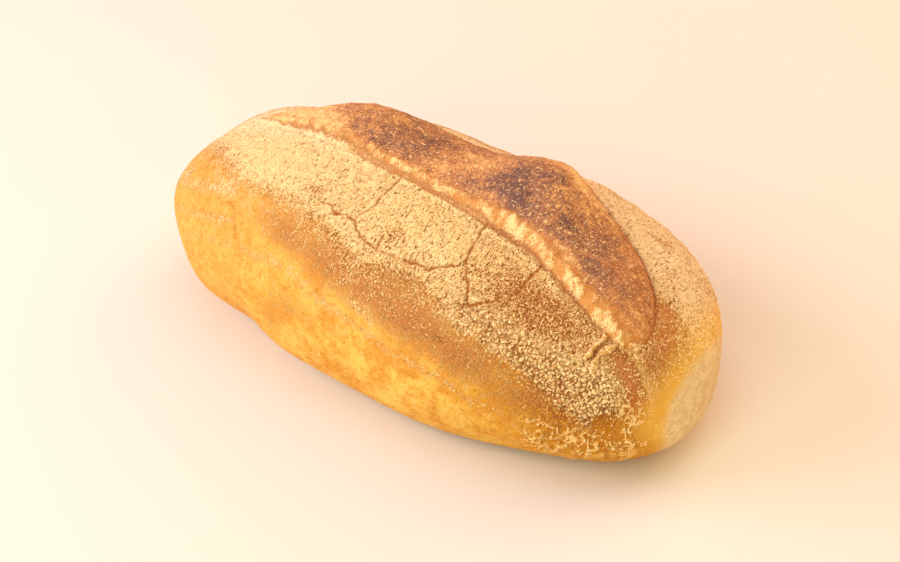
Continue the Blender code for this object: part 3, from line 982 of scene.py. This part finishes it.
crustFinish = {
    # screen colours from 0 to 255
    "goldLight": (246, 196, 88),
    "goldDeep": (226, 152, 46),
    "goldLeft": (232, 163, 64),
    "goldRight": (216, 148, 16),
    "goldSpeck": (252, 222, 148),
    # gold darkened with painted shade, for the mottled gaps, the bump's hollows and the furrows
    "goldGapAndShade": (190, 120, 40),
    "underside": (170, 108, 58),
    "rose": (190, 120, 56),
    "roseDeep": (158, 96, 44),
    "umber": (194, 115, 8),
    "shoulder": (168, 104, 54),
    "rust": (196, 115, 55),
    "flourLight": (247, 214, 149),
    "flourFar": (253, 222, 172),
    "flourTan": (198, 141, 72),
    # dark brown crust with painted shade, for the flour's dashes and strokes, the bump's hollows and the
    # scars
    "dentBrownAndShade": (142, 78, 16),
    # brown crust with painted shade, for the seams between curds and the painted shadow beside the tear
    # ridges
    "seamAndShade": (148, 78, 22),
    "crack": (172, 94, 24),
    "curdDull": (222, 160, 92),
    "curdLight": (255, 225, 167),
    "burstPale": (246, 200, 130),
    "burstTan": (218, 152, 88),
    "burstBrown": (184, 121, 77),
    "burstDark": (151, 100, 75),
    "burstBlack": (112, 77, 66),
    "burstGold": (208, 128, 46),
    # light blisters and sparks on the burst, with a painted highlight on them
    "speckAndHighlight": (248, 204, 146),
    "tornGold": (232, 168, 84),
    # the threads' lighter colour, partly a painted highlight on their ridges
    "threadAndHighlight": (244, 194, 108),
    "fringe": (200, 128, 56),
    "stripGold": (212, 143, 71),
    "stripCream": (248, 214, 148),
    "lip": (216, 154, 94),
    # painted shade, over partly baked brown, for the crevices, the pits and the far edge line
    "creviceAndShade": (160, 92, 44),
    "farLip": (202, 130, 74),
    "patch": (247, 220, 168),
    "patchTan": (238, 204, 146),
    "patchRim": (253, 198, 82),
    "goldPatchSize": 13.0,
    "mottleSize": 3.6,
    "gritSize": 0.85,
    "dustSize": 0.6,
    "strokeSize": 1.15,
    "sparkSize": 1.25,
    "grainSize": 0.8,
    "grainStrength": 0.24,
    "bumpDepth": 0.0006,
    "roughness": 0.74,
    "shine": 0.25,
}

lumpFinish = {
    "cloudSize": 1.8,
    "lightPast": (0.098, 0.118),    # x in metres, from where on only the light colour is used
    "roughness": 0.85,
    "shine": 0.2,
}


def paint(colour):
    # screen colour 0..255 to the linear amount that a shader takes
    share = np.array(colour) / 255.0
    linear = np.where(share <= 0.04045, share / 12.92, ((share + 0.055) / 1.055) ** 2.4)
    return (*(float(part) for part in linear), 1.0)


class Shade:
    # one output of a shader node, which adds, multiplies and subtracts like a number

    def __init__(self, socket):
        self.socket = socket
        self.tree = socket.id_data

    def __add__(self, other):
        return addNode(self.tree, "ShaderNodeMath", {0: self, 1: other}, operation="ADD")

    def __mul__(self, other):
        return addNode(self.tree, "ShaderNodeMath", {0: self, 1: other}, operation="MULTIPLY")

    def __rsub__(self, number):
        return addNode(self.tree, "ShaderNodeMath", {0: number, 1: self}, operation="SUBTRACT")


def addNode(tree, kind, values, output=0, **settings):
    # a shader node with its settings and inputs, as the shade of one of its outputs
    node = tree.nodes.new(kind)
    for name, value in settings.items():
        setattr(node, name, value)
    for slot, value in values.items():
        if isinstance(value, Shade):
            tree.links.new(value.socket, node.inputs[slot])
        else:
            node.inputs[slot].default_value = value
    return Shade(node.outputs[output])


def swing(noise, amount):
    # noise about one half, as a swing of this amount to either side of 0
    values = {0: noise, 1: amount, 2: -0.5 * amount}
    return addNode(noise.tree, "ShaderNodeMath", values, operation="MULTIPLY_ADD")


def blended(share, under, over):
    # the under colour where share is 0, the over colour where it is 1
    values = {0: share, 6: under, 7: over}
    return addNode(share.tree, "ShaderNodeMix", values, 2, data_type="RGBA", clamp_factor=True)


def eased(value, low, high):
    # 0 below low, 1 above high, smooth between them
    values = {"Value": value, "From Min": low, "From Max": high}
    return addNode(value.tree, "ShaderNodeMapRange", values, "Result", interpolation_type="SMOOTHSTEP")


def clouds(where, size, detail=3.0, roughness=0.55):
    # cloudy noise whose largest patches are about size millimetres
    values = {"Vector": where, "Scale": 1000.0 / size, "Detail": detail, "Roughness": roughness}
    return addNode(where.tree, "ShaderNodeTexNoise", values, "Fac")


def stretched(value, amounts):
    # a place or a colour times three amounts, or times one amount for all three
    return addNode(value.tree, "ShaderNodeVectorMath", {0: value, 1: amounts}, operation="MULTIPLY")


def painted(under, *layers):
    # the colour underneath, and each layer over it where the layer's share is 1
    for share, colour in layers:
        under = blended(share, under, colour)
    return under


def crustMaterial(look, attributes):
    # colours laid over each other by the crust's zones and by cloudy noise, and a fine bump
    material, tree, inputs = startMaterial("bakedCrust", look["roughness"], look["shine"])
    where = addNode(tree, "ShaderNodeTexCoord", {}, "Object")
    x, y, z = (addNode(tree, "ShaderNodeSeparateXYZ", {0: where}, axis) for axis in "XYZ")
    tone = {name: paint(value) for name, value in look.items() if isinstance(value, tuple)}
    zone = {values.name: addNode(tree, "ShaderNodeAttribute", {}, "Fac", attribute_name=values.name)
            for values in attributes if values.data_type == "FLOAT"}

    mottle = clouds(where, look["mottleSize"], 4.0)
    wide = clouds(where, look["goldPatchSize"], 4.0, 0.65)
    grain = clouds(where, look["grainSize"], 2.0)
    dust = clouds(where, look["dustSize"], 2.0, 0.6)
    # grit and strokes are longer across the loaf than along it, sparks are round
    # grit and sparks also give the bump's height below, so where a colour grows lighter with them it paints
    # light on the raised tops and shade in the hollows
    grit = clouds(stretched(where, (1.0, 0.62, 0.62)), look["gritSize"], 3.0, 0.65)
    strokes = clouds(stretched(where, (1.0, 0.40, 0.40)), look["strokeSize"], 2.0)
    sparks = eased(clouds(where, look["sparkSize"], 1.0), 0.58, 0.68)

    # golden side, deeper to the right, brown underneath; darker in mottled patches and, as painted shade, in
    # the bump's hollows and the threads' furrows
    left = (1.0 - eased(x, -0.09, 0.01)) * 0.75
    gapShade = swing(grit, -2.6) + swing(mottle, -1.9)
    chosen = (sparks * 0.6 + eased(dust, 0.52, 0.72)) * eased(mottle, 0.46, 0.60)
    gold = painted(
        tone["goldDeep"],
        (eased(wide, 0.36, 0.64), tone["goldLight"]),
        (left, tone["goldLeft"]),
        (eased(x, 0.02, 0.12) * 0.85, tone["goldRight"]),
        (zone["umber"] * eased(mottle, 0.30, 0.60), tone["umber"]),
        (eased(gapShade, 0.0, 0.60) * 0.6, tone["goldGapAndShade"]),
        (chosen * 0.85, tone["goldSpeck"]),
        (zone["furrow"] * 0.55, tone["goldGapAndShade"]),
        (1.0 - eased(z, 0.001, 0.007), tone["underside"]))

    # rosy brown under the flour, brown crust where the flour has worn thin, with painted shade in the bump's
    # hollows
    rose = blended(eased(mottle + swing(grit, 0.6), 0.40, 0.66), tone["rose"], tone["roseDeep"])
    shoulder = blended(eased(grit, 0.36, 0.62), tone["dentBrownAndShade"], tone["shoulder"])
    bareCrust = painted(
        gold,
        (zone["blush"] * eased(zone["blush"] + swing(mottle, 1.2), 0.1, 0.6), rose),
        (1.0 - eased(zone["below"], -6.0, 8.0), shoulder),
        (zone["rust"], tone["rust"]),
        (zone["scar"] * 0.8, tone["dentBrownAndShade"]))

    # flour: light where it lies thick, and thicker on the bump's raised grit as partly painted light, tan
    # where thin, gone in its pits, strokes and cracks, with painted shade darkening the pits and strokes
    amount = zone["flour"] + (swing(grit, 2.0) + swing(mottle, 0.9) + swing(dust, 2.6))
    flour = blended(eased(y, -0.015, 0.020), tone["flourLight"], tone["flourFar"])
    flour = blended(eased(amount, 0.45, 1.15), tone["flourTan"], flour)
    cover = eased(amount, 0.38, 0.62) * (1.0 - zone["burst"])
    worn = ((1.0 - left) * 0.5 + 0.35) * (1.0 - eased(y, 0.0, 0.03) * 0.4)
    # the flour's strokes and dashes: sunk in the bump and darkened with painted shade
    shadedMarks = eased(strokes, 0.60, 0.67) * eased(zone["flour"], 0.25, 0.7)
    shadedMarks = (shadedMarks + zone["dash"] * (zone["flour"] * 0.35)) * worn * (1.0 - zone["bare"])
    # a painted shadow along the feet of the tear ridges
    tearShadow = eased(zone["tear"], 0.04, 0.20) * (1.0 - eased(zone["tear"], 0.30, 0.60))
    torn = blended(eased(grit, 0.42, 0.56), tone["tornGold"], tone["stripCream"])
    crust = painted(
        bareCrust,
        (cover, flour),
        (shadedMarks, tone["dentBrownAndShade"]),
        # the threads' veins, lighter partly as a painted highlight on their ridges
        (eased(zone["vein"] + swing(dust, 0.8), 0.20, 0.70) * 0.8, tone["threadAndHighlight"]),
        (zone["seamAndShade"] * 0.9, tone["seamAndShade"]),
        (zone["crack"] * 1.3, tone["crack"]),
        (tearShadow * 0.6, tone["seamAndShade"]),
        (eased(zone["tear"], 0.35, 0.9) * 0.8, torn),
        (eased(zone["tail"], 0.30, 0.85) * 0.5, torn))

    # the burst, from pale gold to nearly black, more golden at its end, with light specks and a torn strip;
    # lighter on the raised grit and fold crests and darker in their hollows as painted light and shade
    dark = zone["char"] + swing(mottle, 1.25) + (swing(grit, -1.5) + swing(dust, -1.2)) + zone["fold"] * -0.12
    ramp = addNode(tree, "ShaderNodeValToRGB", {"Fac": dark}, "Color")
    stops = ramp.socket.node.color_ramp.elements
    stops[0].position, stops[0].color = 0.0, tone["burstPale"]
    stops[1].position, stops[1].color = 1.0, tone["burstBlack"]
    for position, name in ((0.26, "burstTan"), (0.50, "burstBrown"), (0.76, "burstDark")):
        stops.new(position).color = tone[name]
    # light specks: lighter blisters and sparks, partly a painted highlight on their raised tops
    specksAndHighlights = (sparks * 0.90 + zone["blister"] * 0.3) * (1.0 - eased(dark, 0.4, 1.0) * 0.35)
    specksAndHighlights = specksAndHighlights * ((1.0 - zone["farLip"]) * eased(zone["char"], 0.05, 0.35))
    # the torn strip: cream on the raised crumbs, golden between them, partly painted light and shade
    crumbs = zone["crumb"] * 0.5 + swing(dust, 2.0)
    strip = blended(eased(crumbs, 0.14, 0.42), tone["stripGold"], tone["stripCream"])
    burst = painted(
        ramp,
        (eased(x + swing(mottle, 0.05), 0.075, 0.115) * 0.30, tone["burstGold"]),
        (specksAndHighlights, tone["speckAndHighlight"]),
        (zone["farLip"] * 0.7, tone["farLip"]),
        (zone["fringe"] * eased(mottle + swing(dust, 1.2), 0.30, 0.62), tone["fringe"]),
        (zone["strip"], strip))

    # the burst with its lip, painted shade in its crevices, its pits and along its far edge, then the pale
    # patch and its golden rim
    lines = zone["creviceAndShade"] + zone["farShadeLine"] * eased(mottle, 0.34, 0.58)
    crust = painted(
        crust,
        (zone["burst"], burst),
        (zone["lip"] * (1.0 - cover * 0.75) * 0.7, tone["lip"]),
        ((lines + zone["pit"]) * 0.85, tone["creviceAndShade"]),
        (zone["rim"] * 0.9, tone["patchRim"]),
        (zone["patch"], blended(eased(mottle, 0.42, 0.60), tone["patchTan"], tone["patch"])))

    crust = stretched(crust, swing(grain, 2.0 * look["grainStrength"]) + 1.0)
    tree.links.new(crust.socket, inputs["Base Color"])
    fine = grit * 1.3 + sparks * 0.4 + shadedMarks * -0.6
    values = {"Strength": 1.0, "Distance": look["bumpDepth"], "Height": fine}
    tree.links.new(addNode(tree, "ShaderNodeBump", values, "Normal").socket, inputs["Normal"])
    return material


def lumpMaterial(name, finish, dull, light):
    # dull or light by cloudy noise, and light alone past a place along the loaf
    material, tree, inputs = startMaterial(name, finish["roughness"], finish["shine"])
    where = addNode(tree, "ShaderNodeTexCoord", {}, "Object")
    along = addNode(tree, "ShaderNodeSeparateXYZ", {0: where}, "X")
    patchy = eased(clouds(where, finish["cloudSize"], 2.0), 0.36, 0.60)
    tone = painted(dull, (patchy, light), (eased(along, *finish["lightPast"]), light))
    tree.links.new(tone.socket, inputs["Base Color"])
    return material


loaf, ownBox = makeLoaf()
crusts = (loaf, makeSideCrust(ownBox))
bakedCrust = crustMaterial(crustFinish, loaf.data.attributes)
for crust in crusts:
    crust.data.materials.append(bakedCrust)
    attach(crust, "root")
    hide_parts("loaf")

for form in (curdForm, pimpleForm):
    lumps = makeLumps(form, crusts)
    dull, light = (paint(crustFinish[form[name]]) for name in ("dull", "light"))
    lumps.data.materials.append(lumpMaterial(form["name"], lumpFinish, dull, light))
    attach(lumps, "root")
print("crust finished")
